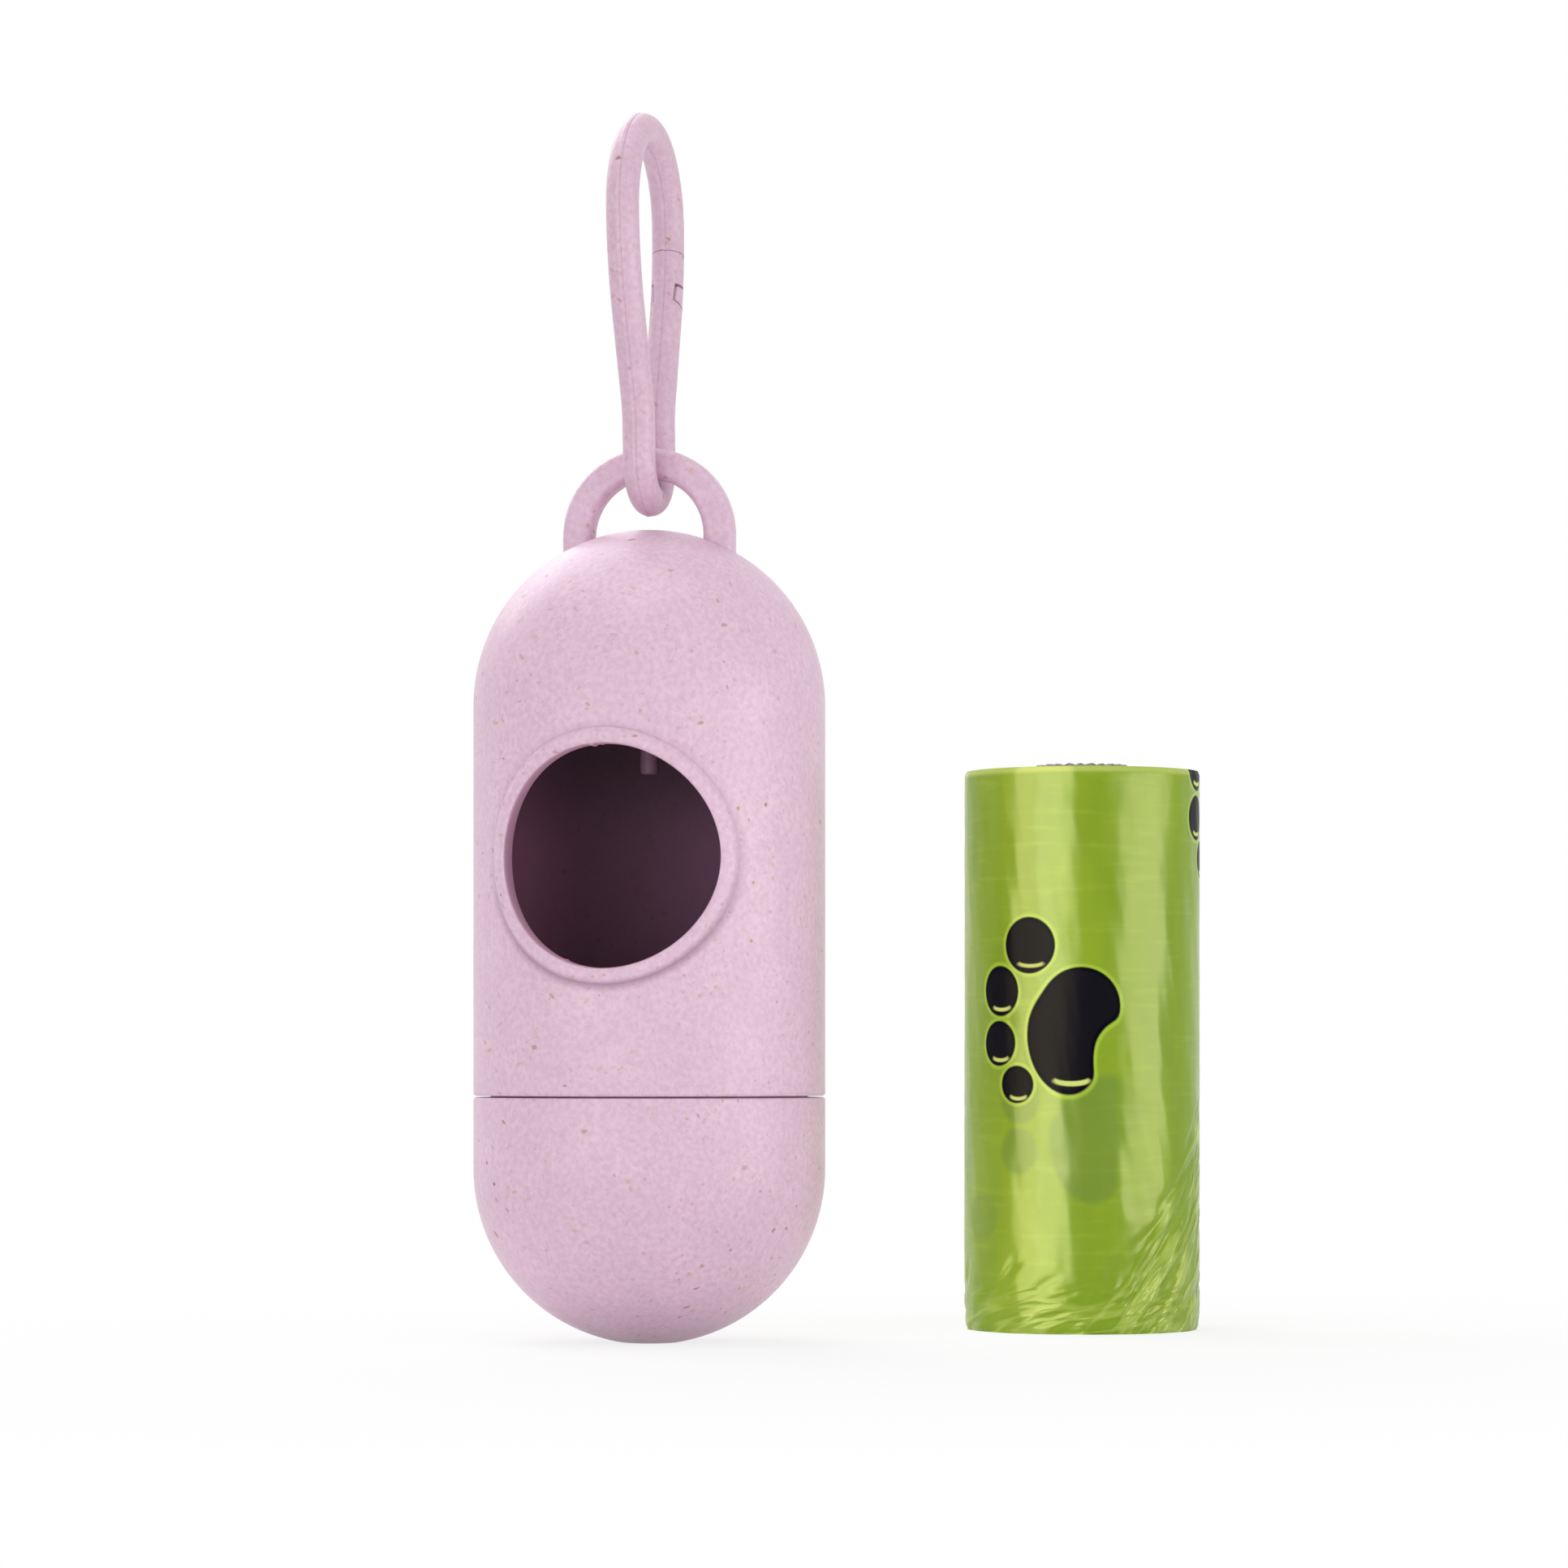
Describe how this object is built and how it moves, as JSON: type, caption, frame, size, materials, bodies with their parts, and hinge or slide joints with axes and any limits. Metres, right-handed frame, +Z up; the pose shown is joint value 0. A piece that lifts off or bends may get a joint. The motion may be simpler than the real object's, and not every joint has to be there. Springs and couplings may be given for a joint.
{
  "type": "dog waste bag dispenser",
  "caption": "Capsule-shaped dispenser for rolls of dog waste bags, with a pull-off cap, a rimmed bag hole, a hanging ring and a moulded snap hook, and a bag roll standing beside it.",
  "frame": {"origin": "middle of the small flat under the cap, on the axis of the capsule", "axes": "+Z up along the capsule towards its ring and hook, -Y out of the bag hole, +X along the ring's width, with the roll standing towards +X and +Y"},
  "size_m": [0.075, 0.0727, 0.1359],
  "materials": {
    "case_plastic": "satin moulded plastic with fine fibre specks, pale lilac pink",
    "hook_plastic": "satin moulded plastic with fine fibre specks, pale lilac pink",
    "bag_film": "glossy translucent yellow-green film with printed paw prints",
    "core_card": "plain grey cardboard tube"
  },
  "bodies": {
    "cap": {"cap": "case_plastic"},
    "case": {"case_shell": "case_plastic"},
    "hook": {"hook_frame": "hook_plastic", "gate_flexure": "hook_plastic"},
    "gate": {"hook_gate": "hook_plastic"},
    "roll": {"roll_core": "core_card", "wound_bags": "bag_film", "outer_bag": "bag_film"}
  },
  "joints": [
    {"name": "case_lift", "type": "slide", "parent": "cap", "child": "case", "axis": [0, 0, 1], "range_m": [0, 0.06]},
    {"name": "hook_swing", "type": "hinge", "parent": "case", "child": "hook", "pos_m": [0, 0, 0.0974], "axis": [1, 0, 0], "range_deg": [-99, 92]},
    {"name": "gate_open", "type": "hinge", "parent": "hook", "child": "gate", "pos_m": [0, 0.00408, 0.10337], "axis": [1, 0, 0], "range_deg": [0, 28], "stiffness_Nm_per_rad": 0.12, "deforming": ["gate_flexure"]},
    {"name": "roll_spin", "type": "hinge", "parent": "cap", "child": "roll", "pos_m": [0.04172, 0.03891, 0], "axis": [0, 0, 1], "continuous": true}
  ]
}
